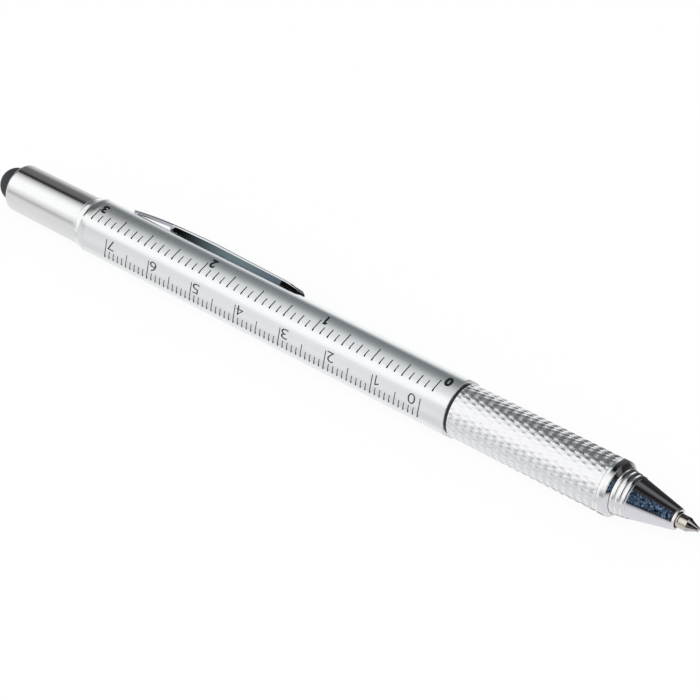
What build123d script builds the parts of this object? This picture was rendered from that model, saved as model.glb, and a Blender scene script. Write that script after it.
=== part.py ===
from build123d import *
import math
import os

# Multi tool pen, in millimetres. +X runs along the pen to its writing tip, +Z is up, and the
# pen lies on one flat of its six-sided barrel. X is 0 at the middle of the barrel's length.
# Angles about the pen are measured from straight up towards -Y.

# Barrel: a six-sided tube with rounded edges
barrel_sides = 6
across_flats = 10.0
barrel_length = 82.0
barrel_edge_radius = 2.2
barrel_bore_radius = 3.9
barrel_end_chamfer = 0.4
clip_facet_angle = -60
level_facet_angle = -120

# Fits
seat_gap = 0.03
running_gap = 0.05
face_gap = 0.05
overrun = 1.0

# Thin ring between barrel and cap
trim_ring_width = 1.3
trim_ring_radius = 4.78
trim_ring_round = 0.2

# Threaded plug that holds the screwdriver bit
spigot_radius = 3.25
spigot_length = 5.0
spigot_chamfer = 0.3
socket_floor = 1.1

# Double-ended screwdriver bit
bit_across_flats = 4.0
bit_hex_length = 14.0
bit_shank_length = 7.0
bit_shank_radius = 1.65
bit_hex_chamfer = 0.25
bit_end_gap = 0.1
blade_length = 4.0
blade_thickness = 0.5
cross_length = 3.0
cross_point_radius = 0.45
cross_web = 0.3

# Magnet under the bit
magnet_radius = 1.9
magnet_length = 2.0

# Cap
cap_length = 17.45
cap_radius = 4.5
cap_wall = 0.8
cap_end_chamfer = 0.5
cap_mouth_round = 0.15
insert_length = 5.0

# Stylus: a hollow rubber dome snapped over a post
dome_radius = 3.2
dome_skirt = 0.85
dome_wall = 0.7
post_flange = 1.9
post_neck_radius = 1.5
post_neck_length = 0.7
post_head_radius = 2.15
post_head_length = 1.0
post_head_round = 0.3

# Pocket clip: heights are of its outer face above the barrel's flat
clip_root_inset = 7.1
clip_length = 37.5
clip_width = 3.6
clip_thickness = 0.5
clip_root_height = 0.55
clip_rise_height = 1.1
clip_knee_height = 1.52
clip_top_height = 1.86
clip_curl_height = 0.88
clip_tip_gap = 0.12
clip_rise_share = 0.2
clip_knee_share = 0.37
clip_top_share = 0.6
clip_curl_share = 0.968
clip_tip_bulge = 0.2
flange_start = 8.6
flange_end = 33.9
flange_slant = 0.35
flange_gap = 0.2
tip_pad_width = 2.4
tab_width = 2.4
tab_thickness = 0.6
tab_depth = 2.0
tab_foot_length = 2.0
tab_foot_thickness = 0.55
tab_gap = 0.15

# Spirit level, in a cradle that fills the barrel between the bit's plug and the twist
cradle_gap = 1.0
cradle_end_wall = 1.0
vial_radius = 2.6
vial_wall = 0.7
vial_end_wall = 1.2
vial_offset = 1.22
vial_plug_length = 1.2
liquid_gap = 0.05
bubble_radius = 0.75
bubble_length = 4.0
bubble_end_gap = 1.0
bubble_offset = 1.05
bubble_gap = 0.1
level_slot_width = 3.4
window_end_cover = 3.0
window_width = 3.0
window_recess = 0.05

# Black washer between barrel and grip
washer_thickness = 0.5
washer_radius = 4.6
washer_bore_gap = 0.1
grip_end_gap = 0.15

# Knurled grip and the chrome collar in front of it
grip_length = 29.25
grip_radius = 4.87
grip_bore_radius = 3.4
grip_end_chamfer = 0.25
collar_width = 2.0
collar_radius = 4.95
collar_front_round = 0.55
collar_rear_round = 0.15

# Twist mechanism: cam tube in the barrel, guide sleeve turned by the grip
retract_travel = 5.0
twist_degrees = 180
cam_rear_land = 7.25
cam_bore_radius = 3.0
cam_slot_steps = 12
guide_bore_radius = 2.1
guide_rear_reach = 1.9
guide_front_reach = 10.0
drive_bush_inset = 1.0
pin_radius = 0.6
pin_angle = 90
pin_slot_gap = 0.1
pin_wall_gap = 0.15
pin_from_carrier_rear = 2.5
retainer_thickness = 0.8
retainer_radius = 3.5
retainer_groove = 0.2
drag_ring_section = 0.25
drag_ring_inset = 12.0
drag_groove_width = 0.7

# Nose: a threaded stem, a neck with three fine rings, and a cone
thread_bush_length = 13.8
thread_radius = 2.88
nose_stem_length = 11.8
nose_bore_radius = 2.2
neck_length = 3.2
neck_rear_radius = 4.0
neck_front_radius = 3.58
neck_rings = 3
ring_groove_width = 0.36
ring_groove_depth = 0.16
cone_length = 7.45
nose_end_radius = 1.8
nose_end_round = 0.2
nose_hole_radius = 1.4
nose_hole_length = 2.0
nose_bore_taper = 4.0

# Refill: a short metal refill, 67 mm long
refill_length = 67.0
refill_radius = 1.175
refill_wall = 0.25
tip_reach = 3.85
tip_body_length = 6.1
tip_cone_length = 1.75
tip_end_radius = 0.45
tip_spigot_length = 3.0
ink_channel_radius = 0.2
ball_radius = 0.35
ball_gap = 0.02
ball_lip = 0.15
ink_length = 37.0
follower_length = 2.5
ink_gap = 0.3
refill_socket_gap = 0.03
carrier_length = 12.0
carrier_socket_depth = 5.5
carrier_chamfer = 0.3

# Places that follow from the sizes above
flat_height = across_flats / 2
edge_middle_radius = (flat_height - barrel_edge_radius) / math.cos(math.pi / barrel_sides)
barrel_corner_radius = edge_middle_radius + barrel_edge_radius
barrel_front = barrel_length / 2
barrel_rear = -barrel_length / 2
plug_radius = barrel_bore_radius - seat_gap

cap_mouth = barrel_rear - trim_ring_width - face_gap
cap_end = cap_mouth - cap_length
cap_bore_radius = cap_radius - cap_wall
spigot_end = barrel_rear - trim_ring_width - spigot_length
post_inner = cap_end + post_flange

bit_length = bit_hex_length + 2 * bit_shank_length
bit_rear = post_inner + bit_end_gap
bit_front = bit_rear + bit_length
magnet_rear = bit_front + bit_end_gap
magnet_front = magnet_rear + magnet_length
holder_front = magnet_front + socket_floor

grip_start = barrel_front + washer_thickness + grip_end_gap
grip_end = grip_start + grip_length
collar_front = grip_end + collar_width
nose_start = collar_front + face_gap
neck_end = nose_start + neck_length
nose_end = neck_end + cone_length

ball_end = nose_end + tip_reach
ball_centre = ball_end - ball_radius
tip_end = ball_centre + ball_lip
tip_cone_start = tip_end - tip_cone_length
tip_body_start = tip_cone_start - tip_body_length
refill_rear = ball_end - refill_length
carrier_front = refill_rear + carrier_socket_depth
carrier_rear = carrier_front - carrier_length
pin_place = carrier_rear + pin_from_carrier_rear
pin_home = pin_place - retract_travel

cam_rear = pin_home - cam_rear_land
guide_radius = cam_bore_radius - running_gap
guide_rear = cam_rear - guide_rear_reach
guide_front = grip_start + guide_front_reach
retainer_front = cam_rear - washer_bore_gap
thread_bush_rear = collar_front - thread_bush_length
nose_stem_rear = nose_start - nose_stem_length

clip_root = barrel_rear + clip_root_inset
level_rear = holder_front + cradle_gap
level_front = guide_rear - cradle_gap
level_middle = (level_rear + level_front) / 2
vial_rear = level_rear + cradle_end_wall
vial_front = level_front - cradle_end_wall
vial_bore_radius = vial_radius - vial_wall
window_length = vial_front - vial_rear - 2 * window_end_cover
liquid_rear = vial_rear + vial_end_wall + liquid_gap
liquid_front = vial_front - vial_plug_length - liquid_gap


def turned(outline):
    """A solid turned about the pen's axis from a closed outline of (x, radius) points."""
    points = dict.fromkeys(outline)
    return revolve(make_face(Polyline(*points, close=True)), Axis.X)


def tube(start, end, outer, inner=0.0):
    """A plain round tube along the pen, or a rod where inner is 0."""
    return turned([(start, inner), (end, inner), (end, outer), (start, outer)])


def ended_tube(start, end, outer, inner, start_cut, end_cut):
    """A round tube whose outer edges are cut at 45 degrees by start_cut and end_cut."""
    return turned(
        [
            (start, inner),
            (end, inner),
            (end, outer - end_cut),
            (end - end_cut, outer),
            (start + start_cut, outer),
            (start, outer - start_cut),
        ]
    )


def six_sided(start, end, flats, edge_radius=0.0):
    """A six-sided bar along the pen, with flats facing straight up and down."""
    outline = RegularPolygon(flats / 2, barrel_sides, major_radius=False)
    if edge_radius:
        outline = fillet(outline.vertices(), edge_radius)
    return Pos(X=start) * extrude(Plane.YZ * outline, end - start)


def slab(start, end, width, low, high):
    """A block from start to end along the pen, centred across it, between two heights."""
    size = (end - start, width, high - low)
    return Pos((start + end) / 2, 0, (low + high) / 2) * Box(*size)


def side_plate(outline, width, middle=0.0):
    """A flat plate of a closed (x, z) outline, width thick across the pen."""
    face = make_face(outline)
    return Pos(Y=middle) * extrude(Plane.XZ * face, width / 2, both=True)


def on_facet(shape, angle):
    """Turns a shape made at the top of the pen to the facet at this angle."""
    return Rot(X=angle) * shape


def oblong(length, width, low, high):
    """An upright round-ended block, centred on the level's middle."""
    outline = SlotOverall(length, width)
    return Pos(level_middle, 0, low) * extrude(outline, high - low)


def barrel():
    body = six_sided(barrel_rear, barrel_front, across_flats, barrel_edge_radius)
    corner = barrel_corner_radius - barrel_end_chamfer
    reach = barrel_corner_radius + overrun
    slope = barrel_end_chamfer + overrun
    body &= turned(
        [
            (barrel_rear, 0),
            (barrel_front, 0),
            (barrel_front, corner),
            (barrel_front - slope, reach),
            (barrel_rear + slope, reach),
            (barrel_rear, corner),
        ]
    )
    body -= tube(barrel_rear - overrun, barrel_front + overrun, barrel_bore_radius)
    tab_start = clip_root - tab_gap
    tab_end = clip_root + tab_thickness + tab_gap
    slot = slab(tab_start, tab_end, tab_width + 2 * tab_gap, 0, across_flats)
    body -= on_facet(slot, clip_facet_angle)
    window = oblong(window_length, window_width, 0, across_flats)
    body -= on_facet(window, level_facet_angle)
    return body


def rear_trim_ring():
    ring = tube(
        barrel_rear - trim_ring_width, barrel_rear, trim_ring_radius, spigot_radius + seat_gap
    )
    rims = ring.edges().filter_by(GeomType.CIRCLE).group_by(SortBy.RADIUS)[-1]
    return fillet(rims, trim_ring_round)


def foot_notch():
    """The room under the barrel's wall where the clip's foot hooks."""
    foot_top = flat_height - tab_depth + tab_foot_thickness
    notch = slab(
        clip_root - tab_gap,
        clip_root + tab_foot_length + tab_gap,
        tab_width + 2 * tab_gap,
        foot_top - tab_foot_thickness - tab_gap,
        across_flats,
    )
    return on_facet(notch, clip_facet_angle)


def bit_holder():
    body = ended_tube(spigot_end, holder_front, spigot_radius, 0, spigot_chamfer, 0)
    body += tube(barrel_rear, holder_front, plug_radius)
    flats = bit_across_flats + 2 * running_gap
    body -= six_sided(spigot_end - overrun, magnet_rear, flats)
    body -= tube(magnet_rear - overrun, magnet_front, magnet_radius + seat_gap)
    body -= foot_notch()
    return body


def socket_magnet():
    return tube(magnet_rear, magnet_front, magnet_radius)


def slotted_end():
    """The bit's flat blade, towards the cap."""
    root = bit_rear + bit_shank_length
    rod = tube(bit_rear, root, bit_shank_radius)
    blade_root = bit_rear + blade_length
    half = blade_thickness / 2
    wedge = Polyline(
        (bit_rear, half),
        (blade_root, bit_shank_radius),
        (root, bit_shank_radius),
        (root, -bit_shank_radius),
        (blade_root, -bit_shank_radius),
        (bit_rear, -half),
        close=True,
    )
    return rod & side_plate(wedge, 2 * bit_shank_radius)


def cross_end():
    """The bit's cross point, towards the magnet."""
    root = bit_front - bit_shank_length
    point = turned(
        [
            (root, 0),
            (bit_front, 0),
            (bit_front, cross_point_radius),
            (bit_front - cross_length, bit_shank_radius),
            (root, bit_shank_radius),
        ]
    )
    corner = cross_web / 2
    side = bit_across_flats
    square = Rectangle(side, side, align=(Align.MIN, Align.MIN))
    start = Plane(origin=(bit_front, corner, corner), x_dir=(0, 1, 0), z_dir=(1, 0, 0))
    slope = (bit_shank_radius - corner) / cross_length
    flute = extrude(start * square, cross_length, dir=(-1, slope, slope))
    for turn in range(4):
        point -= Rot(X=90 * turn) * flute
    return point


def screwdriver_bit():
    hex_start = bit_rear + bit_shank_length
    hex_end = hex_start + bit_hex_length
    corner = bit_across_flats / math.sqrt(3)
    body = six_sided(hex_start, hex_end, bit_across_flats)
    body &= ended_tube(hex_start, hex_end, corner, 0, bit_hex_chamfer, bit_hex_chamfer)
    return body + slotted_end() + cross_end()


def cap_shell():
    shell = ended_tube(cap_end, cap_mouth, cap_radius, cap_bore_radius, cap_end_chamfer, 0)
    rims = shell.edges().filter_by(GeomType.CIRCLE).group_by(SortBy.RADIUS)[-1]
    mouth = rims.sort_by(Axis.X)[-1]
    return fillet(mouth, cap_mouth_round)


def cap_insert():
    return tube(
        cap_mouth - insert_length,
        cap_mouth,
        cap_bore_radius - seat_gap,
        spigot_radius + running_gap,
    )


def stylus_post():
    neck_end_x = cap_end - post_neck_length
    head_end = neck_end_x - post_head_length
    body = tube(cap_end, post_inner, cap_bore_radius - seat_gap)
    body += tube(neck_end_x, cap_end, post_neck_radius)
    head = tube(head_end, neck_end_x, post_head_radius)
    rims = head.edges().filter_by(GeomType.CIRCLE).sort_by(Axis.X)[0]
    return body + fillet(rims, post_head_round)


def stylus_tip():
    base = cap_end - seat_gap
    skirt_end = base - dome_skirt
    lip_end = cap_end - post_neck_length + seat_gap
    bore = post_neck_radius + seat_gap
    inner_radius = dome_radius - dome_wall
    outer_end = skirt_end - dome_radius
    inner_end = skirt_end - inner_radius
    outline = [
        Line((base, bore), (base, dome_radius)),
        Line((base, dome_radius), (skirt_end, dome_radius)),
        RadiusArc((skirt_end, dome_radius), (outer_end, 0), -dome_radius),
        Line((outer_end, 0), (inner_end, 0)),
        RadiusArc((inner_end, 0), (skirt_end, inner_radius), inner_radius),
        Line((skirt_end, inner_radius), (lip_end, inner_radius)),
        Line((lip_end, inner_radius), (lip_end, bore)),
        Line((lip_end, bore), (base, bore)),
    ]
    return revolve(make_face(outline), Axis.X)


def clip_heights():
    """Points along the clip's outer face as (x, height above the flat)."""
    return [
        (clip_root, clip_root_height),
        (clip_root + clip_rise_share * clip_length, clip_rise_height),
        (clip_root + clip_knee_share * clip_length, clip_knee_height),
        (clip_root + clip_top_share * clip_length, clip_top_height),
        (clip_root + clip_curl_share * clip_length, clip_curl_height),
    ]


def clip_band(drop):
    """The clip's long curve, lowered by drop, from its root to where its tip curls down."""
    points = [(x, flat_height + height - drop) for x, height in clip_heights()]
    first = ThreePointArc(points[0], points[1], points[2])
    second = ThreePointArc(points[2], points[3], points[4])
    return first, second


def clip_web():
    """The clip's sheet in side view, with its curled tip."""
    outer = clip_band(0)
    inner = clip_band(clip_thickness)
    tip = clip_root + clip_length
    curl_x, curl_height = clip_heights()[-1]
    low = flat_height + clip_tip_gap
    curl_outer = (curl_x, flat_height + curl_height)
    curl_inner = (curl_x, flat_height + curl_height - clip_thickness)
    bulge_x = tip - clip_tip_bulge
    bulge = (bulge_x, flat_height + curl_height - clip_thickness)
    web = make_face(
        [
            *outer,
            ThreePointArc(curl_outer, bulge, (tip, low)),
            Line((tip, low), (tip - clip_thickness, low)),
            Line((tip - clip_thickness, low), curl_inner),
            *inner,
            Line(inner[0] @ 0, outer[0] @ 0),
        ]
    )
    return extrude(Plane.XZ * web, clip_width / 2, both=True)


def clip_flange(side):
    """One folded side of the clip; side is 1 or -1."""
    start = clip_root + flange_start
    end = clip_root + flange_end
    low = flat_height + flange_gap
    under = clip_thickness / 2
    points = clip_heights()
    knee = flat_height + points[2][1] - under
    top = (points[3][0], flat_height + points[3][1] - under)
    curl = flat_height + points[4][1]
    back = (start, low)
    outline = [
        Line(back, (start + flange_slant, knee)),
        ThreePointArc((start + flange_slant, knee), top, (end, curl + under)),
        Line((end, curl + under), (end, low)),
        Line((end, low), back),
    ]
    middle = side * (clip_width - clip_thickness) / 2
    return side_plate(outline, clip_thickness, middle)


def clip_pad():
    """The pressed pad under the clip's tip that holds the cloth of a pocket."""
    start = clip_root + flange_end - clip_thickness
    end = clip_root + clip_length - clip_thickness
    low = flat_height + clip_tip_gap
    curl_x, curl_height = clip_heights()[-1]
    under = flat_height + curl_height - clip_thickness / 2
    outline = Polyline((start, low), (start, under), (curl_x, under), (end, low), close=True)
    return side_plate(outline, tip_pad_width)


def clip_tab():
    """The clip's root, which drops through the barrel's wall and hooks under it."""
    bottom = flat_height - tab_depth
    top = flat_height + clip_root_height - clip_thickness / 2
    stem = slab(clip_root, clip_root + tab_thickness, tab_width, bottom, top)
    foot_end = clip_root + tab_foot_length
    foot = slab(clip_root, foot_end, tab_width, bottom, bottom + tab_foot_thickness)
    return stem + foot


def clip():
    body = clip_web() + clip_flange(1) + clip_flange(-1) + clip_pad() + clip_tab()
    return on_facet(body, clip_facet_angle)


def level_cradle():
    body = tube(level_rear, level_front, plug_radius)
    pocket_start = vial_rear - seat_gap
    pocket_end = vial_front + seat_gap
    pocket = Pos(Z=vial_offset) * tube(pocket_start, pocket_end, vial_radius + seat_gap)
    slot = slab(pocket_start, pocket_end, level_slot_width, vial_offset, across_flats)
    return on_facet(body - pocket - slot, level_facet_angle)


def level_vial():
    body = tube(vial_rear, vial_front, vial_radius)
    body -= tube(vial_rear + vial_end_wall, vial_front + overrun, vial_bore_radius)
    return on_facet(Pos(Z=vial_offset) * body, level_facet_angle)


def level_plug():
    plug = tube(vial_front - vial_plug_length, vial_front, vial_bore_radius - seat_gap)
    return on_facet(Pos(Z=vial_offset) * plug, level_facet_angle)


def capsule(start, end, radius):
    """A rod along the pen with ends of half a ball, from start to end over them."""
    rear = start + radius
    front = end - radius
    rod = tube(rear, front, radius)
    return rod + Pos(X=rear) * Sphere(radius) + Pos(X=front) * Sphere(radius)


def level_bubble():
    middle = (liquid_rear + liquid_front) / 2
    half = bubble_length / 2
    bubble = capsule(middle - half, middle + half, bubble_radius)
    return on_facet(Pos(Z=vial_offset + bubble_offset) * bubble, level_facet_angle)


def level_liquid():
    body = tube(liquid_rear, liquid_front, vial_bore_radius - seat_gap)
    room_start = liquid_rear + bubble_end_gap
    room_end = liquid_front - bubble_end_gap
    room = capsule(room_start, room_end, bubble_radius + bubble_gap)
    body -= Pos(Z=bubble_offset) * room
    return on_facet(Pos(Z=vial_offset) * body, level_facet_angle)


def level_window():
    length = window_length - 2 * seat_gap
    width = window_width - 2 * seat_gap
    low = barrel_bore_radius + window_recess
    pane = oblong(length, width, low, flat_height - window_recess)
    return on_facet(pane, level_facet_angle)


def pin_slot(start_turn, end_turn, start_x, end_x, steps):
    """A slot for the cam pin in straight steps along a helix, through a round wall."""
    width = 2 * (pin_radius + pin_slot_gap)
    wall = barrel_bore_radius + overrun
    mean_radius = (cam_bore_radius + plug_radius) / 2
    step_x = (end_x - start_x) / steps
    step_turn = (end_turn - start_turn) / steps
    around = math.radians(step_turn) * mean_radius
    length = math.hypot(step_x, around)
    slope = math.degrees(math.atan2(-around, step_x))
    cut = Part()
    for step in range(steps):
        place_x = start_x + step_x * (step + 1 / 2)
        place_turn = start_turn + step_turn * (step + 1 / 2)
        block = extrude(Rot(Z=slope) * SlotCenterToCenter(length, width), wall)
        cut += Rot(X=place_turn) * Pos(X=place_x) * block
    return cut


def cam_tube():
    body = tube(cam_rear, barrel_front, plug_radius, cam_bore_radius)
    last_turn = pin_angle + twist_degrees
    return body - pin_slot(pin_angle, last_turn, pin_place, pin_home, cam_slot_steps)


def thrust_washer():
    bore = guide_radius + washer_bore_gap
    return tube(barrel_front, barrel_front + washer_thickness, washer_radius, bore)


def guide_sleeve():
    body = tube(guide_rear, guide_front, guide_radius, guide_bore_radius)
    body -= pin_slot(pin_angle, pin_angle, pin_place, pin_home, 1)
    groove_floor = guide_radius - retainer_groove
    groove_rear = retainer_front - retainer_thickness
    body -= tube(groove_rear, retainer_front, guide_radius + overrun, groove_floor)
    drag_middle = barrel_front - drag_ring_inset
    drag_floor = guide_radius - 2 * drag_ring_section
    drag_rear = drag_middle - drag_groove_width / 2
    drag_front = drag_middle + drag_groove_width / 2
    return body - tube(drag_rear, drag_front, guide_radius + overrun, drag_floor)


def retaining_ring():
    bore = guide_radius - retainer_groove + seat_gap
    return tube(retainer_front - retainer_thickness, retainer_front, retainer_radius, bore)


def drag_ring():
    ring = Torus(guide_radius - drag_ring_section + seat_gap, drag_ring_section)
    return Pos(X=barrel_front - drag_ring_inset) * Rot(Y=90) * ring


def drive_bush():
    outer = grip_bore_radius - seat_gap
    start = grip_start + drive_bush_inset
    return tube(start, guide_front, outer, guide_radius + seat_gap)


def grip_sleeve():
    return ended_tube(
        grip_start, grip_end, grip_radius, grip_bore_radius, grip_end_chamfer, 0
    )


def front_collar():
    ring = tube(grip_end, collar_front, collar_radius, grip_bore_radius)
    rims = ring.edges().filter_by(GeomType.CIRCLE).group_by(SortBy.RADIUS)[-1]
    ring = fillet(rims.sort_by(Axis.X)[-1], collar_front_round)
    rims = ring.edges().filter_by(GeomType.CIRCLE).group_by(SortBy.RADIUS)[-1]
    return fillet(rims.sort_by(Axis.X)[0], collar_rear_round)


def thread_bush():
    outer = grip_bore_radius - seat_gap
    return tube(thread_bush_rear, collar_front, outer, thread_radius + running_gap)


def refill_carrier():
    radius = guide_bore_radius - running_gap
    cut = carrier_chamfer
    body = ended_tube(carrier_rear, carrier_front, radius, 0, cut, cut)
    socket = refill_radius + refill_socket_gap
    body -= tube(refill_rear - face_gap, carrier_front + overrun, socket)
    return body - cam_pin()


def cam_pin():
    pin = extrude(Pos(pin_place, 0) * Circle(pin_radius), plug_radius - pin_wall_gap)
    return on_facet(pin, pin_angle)


def refill_tube():
    return tube(refill_rear, tip_body_start, refill_radius, refill_radius - refill_wall)


def refill_tip():
    bore = refill_radius - refill_wall - seat_gap
    body = turned(
        [
            (tip_body_start, 0),
            (tip_end, 0),
            (tip_end, tip_end_radius),
            (tip_cone_start, refill_radius),
            (tip_body_start, refill_radius),
        ]
    )
    body += tube(tip_body_start - tip_spigot_length, tip_body_start, bore)
    body -= Pos(X=ball_centre) * Sphere(ball_radius + ball_gap)
    channel_start = tip_body_start - tip_spigot_length - overrun
    return body - tube(channel_start, ball_centre, ink_channel_radius)


def writing_ball():
    return Pos(X=ball_centre) * Sphere(ball_radius)


def ink_column():
    front = tip_body_start - tip_spigot_length - ink_gap
    return tube(front - ink_length, front, refill_radius - refill_wall - seat_gap)


def ink_follower():
    front = tip_body_start - tip_spigot_length - ink_gap - ink_length
    return tube(front - follower_length, front, refill_radius - refill_wall - seat_gap)


def neck_radius(x):
    """The neck's radius at x, which narrows evenly from the shoulder to the cone."""
    share = (x - nose_start) / neck_length
    return neck_rear_radius + share * (neck_front_radius - neck_rear_radius)


def nose_profile():
    """The nose's outside as (x, radius) points, from its shoulder to its tip."""
    points = [(nose_start, neck_rear_radius)]
    pitch = neck_length / (neck_rings + 1)
    for ring in range(neck_rings):
        middle = nose_start + pitch * (ring + 1)
        back = middle - ring_groove_width / 2
        front = middle + ring_groove_width / 2
        points.append((back, neck_radius(back)))
        points.append((middle, neck_radius(middle) - ring_groove_depth))
        points.append((front, neck_radius(front)))
    points.append((neck_end, neck_front_radius))
    points.append((nose_end, nose_end_radius))
    return points


def nose_cone():
    taper_end = nose_end - nose_hole_length
    inside = [
        (nose_end, nose_hole_radius),
        (taper_end, nose_hole_radius),
        (taper_end - nose_bore_taper, nose_bore_radius),
        (nose_stem_rear, nose_bore_radius),
    ]
    stem = [(nose_stem_rear, thread_radius), (nose_start, thread_radius)]
    body = turned([*stem, *nose_profile(), *inside])
    rims = body.edges().filter_by(GeomType.CIRCLE).sort_by(Axis.X)[-2:]
    rim = rims.sort_by(SortBy.RADIUS)[-1]
    return fillet(rim, nose_end_round)


pieces = [
    barrel,
    rear_trim_ring,
    bit_holder,
    socket_magnet,
    screwdriver_bit,
    cap_shell,
    cap_insert,
    stylus_post,
    stylus_tip,
    clip,
    level_cradle,
    level_vial,
    level_plug,
    level_bubble,
    level_liquid,
    level_window,
    cam_tube,
    thrust_washer,
    guide_sleeve,
    retaining_ring,
    drag_ring,
    drive_bush,
    grip_sleeve,
    front_collar,
    thread_bush,
    refill_carrier,
    cam_pin,
    refill_tube,
    refill_tip,
    writing_ball,
    ink_column,
    ink_follower,
    nose_cone,
]

# The pen's axis lies half the barrel's width above the surface that it rests on
os.makedirs("parts", exist_ok=True)
for piece in pieces:
    export_step(Pos(Z=flat_height) * piece(), f"parts/{piece.__name__}.step")
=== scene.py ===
import math

import bpy
from mathutils import Matrix, Vector


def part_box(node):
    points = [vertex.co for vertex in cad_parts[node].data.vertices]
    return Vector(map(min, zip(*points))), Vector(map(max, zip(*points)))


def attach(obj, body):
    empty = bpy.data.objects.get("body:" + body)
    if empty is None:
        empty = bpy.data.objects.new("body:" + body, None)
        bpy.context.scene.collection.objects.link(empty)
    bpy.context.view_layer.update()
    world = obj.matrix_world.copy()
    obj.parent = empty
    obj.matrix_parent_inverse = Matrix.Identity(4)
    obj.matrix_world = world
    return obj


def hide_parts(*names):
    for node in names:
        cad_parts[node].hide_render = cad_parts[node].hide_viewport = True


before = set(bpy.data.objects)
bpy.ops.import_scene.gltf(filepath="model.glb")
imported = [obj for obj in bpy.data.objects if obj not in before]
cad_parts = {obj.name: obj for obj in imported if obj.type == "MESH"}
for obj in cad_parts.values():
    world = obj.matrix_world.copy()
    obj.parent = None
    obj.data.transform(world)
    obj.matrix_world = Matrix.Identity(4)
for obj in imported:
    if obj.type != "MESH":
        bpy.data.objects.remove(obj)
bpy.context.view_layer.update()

# Multi tool pen: the looks of its outer pieces, and the finishes of the pieces inside.
# Lengths in this file are millimetres along the pen, round it and out from its axis; Blender's
# own are metres. Angles about the pen are from straight up towards -Y.

MM = 0.001
AXIS_HEIGHT = 5.0
AXIS = Vector((0, 0, AXIS_HEIGHT * MM))
CLIP_ANGLE = -60
LEVEL_ANGLE = -120
CM_ANGLE = 60


# Nodes of a finish

class Value:
    """One output of a finish's nodes, ready for ordinary arithmetic."""

    def __init__(self, finish, socket):
        self.finish = finish
        self.socket = socket

    def __add__(self, other):
        return self.finish.maths("ADD", self, other)

    def __sub__(self, other):
        return self.finish.maths("SUBTRACT", self, other)

    def __mul__(self, other):
        return self.finish.maths("MULTIPLY", self, other)

    def __truediv__(self, other):
        return self.finish.maths("DIVIDE", self, other)

    __radd__ = __add__


class Finish:
    """The node tree of a material or of the world."""

    def __init__(self, owner):
        owner.use_nodes = True
        self.owner = owner
        self.tree = owner.node_tree
        self.tree.nodes.clear()

    def node(self, kind, settings=None, sockets=None, output=0):
        """Adds a node: its settings first, then the values or links of its sockets."""
        node = self.tree.nodes.new(kind)
        for name, setting in (settings or {}).items():
            setattr(node, name, setting)
        for name, given in (sockets or {}).items():
            socket = node.inputs[name]
            if isinstance(given, Value):
                self.tree.links.new(given.socket, socket)
            else:
                socket.default_value = given
        return Value(self, node.outputs[output]) if node.outputs else None

    def maths(self, operation, left, right):
        return self.node("ShaderNodeMath", {"operation": operation}, {0: left, 1: right})

    def between(self, value, low, high):
        """Rises smoothly from 0 to 1 as value goes from low to high."""
        settings = {"interpolation_type": "SMOOTHSTEP"}
        return self.node("ShaderNodeMapRange", settings, {0: value, 1: low, 2: high})

    def mixed(self, share, first, second):
        """A colour between two colours."""
        first = first if isinstance(first, Value) else (*first, 1)
        second = second if isinstance(second, Value) else (*second, 1)
        return self.node(
            "ShaderNodeMix", {"data_type": "RGBA"}, {0: share, 6: first, 7: second}, output=2
        )

    def shaded(self, share, colour, darkest):
        """A colour that share takes from darkest times itself to the full."""
        return self.mixed(share, tuple(part * darkest for part in colour), colour)

    def bands(self, turn, shades, tone):
        """Tones of (degrees about the pen, shade) pairs, looked up by a turn in radians."""
        bands = self.node("ShaderNodeValToRGB", sockets={0: turn / math.tau + 0.5})
        stops = bands.socket.node.color_ramp.elements
        for index, (angle, shade) in enumerate(shades):
            place = (angle + 180) / 360
            stop = stops[index] if index < 2 else stops.new(place)
            stop.position = place
            stop.color = (*tone(shade), 1)
        return bands

    def stretched(self, scale):
        """Object coordinates about the pen's axis, in millimetres times scale."""
        place = self.node("ShaderNodeTexCoord", output="Object")
        centred = self.node(
            "ShaderNodeVectorMath", {"operation": "SUBTRACT"}, {0: place, 1: AXIS}
        )
        return self.node("ShaderNodeMapping", sockets={0: centred, 3: Vector(scale) / MM})

    def along(self, direction):
        """Millimetres along X, Y or Z, with Y and Z from the pen's axis."""
        return self.node(
            "ShaderNodeSeparateXYZ", sockets={0: self.stretched((1, 1, 1))}, output=direction
        )

    def noise(self, scale, detail):
        """Cloudy noise whose grains are 1/scale millimetres each way."""
        sockets = {"Vector": self.stretched(scale), "Scale": 1.0, "Detail": detail}
        return self.node("ShaderNodeTexNoise", sockets=sockets)

    def surface(self, colour, roughness, metallic=0.0, bump=None, more=None):
        """Ends a material in a principled shader, and hands it over.

        A bump is a height, its strength, and its depth in millimetres where it is 1.
        """
        sockets = {"Base Color": colour, "Roughness": roughness, "Metallic": metallic}
        if bump:
            height, strength, depth = bump
            sockets["Normal"] = self.node(
                "ShaderNodeBump",
                sockets={"Height": height, "Strength": strength, "Distance": depth * MM},
            )
        sockets.update(more or {})
        shader = self.node("ShaderNodeBsdfPrincipled", sockets=sockets)
        self.node("ShaderNodeOutputMaterial", sockets={"Surface": shader})
        return self.owner


def new_finish(name):
    return Finish(bpy.data.materials.new(name))


# Finishes

HAZE = (0.35, 0.5, 0.5)
BRUSHED_HAZE = (0.5, 6.0, 6.0)


def satin_aluminium():
    """Blasted and anodised, faintly drawn lengthwise."""
    finish = new_finish("satin anodised aluminium")
    grain = finish.noise((9.0, 9.0, 9.0), 2.0)
    drawn = finish.noise((0.12, 5.0, 5.0), 2.0)
    colour = finish.mixed(drawn, (0.945, 0.96, 0.97), (0.98, 0.988, 0.994))
    roughness = 0.17 + grain * 0.05 + drawn * 0.03
    height = grain * 0.25 + drawn
    return finish.surface(colour, roughness, 0.98, (height, 0.4, 0.004))


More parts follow.
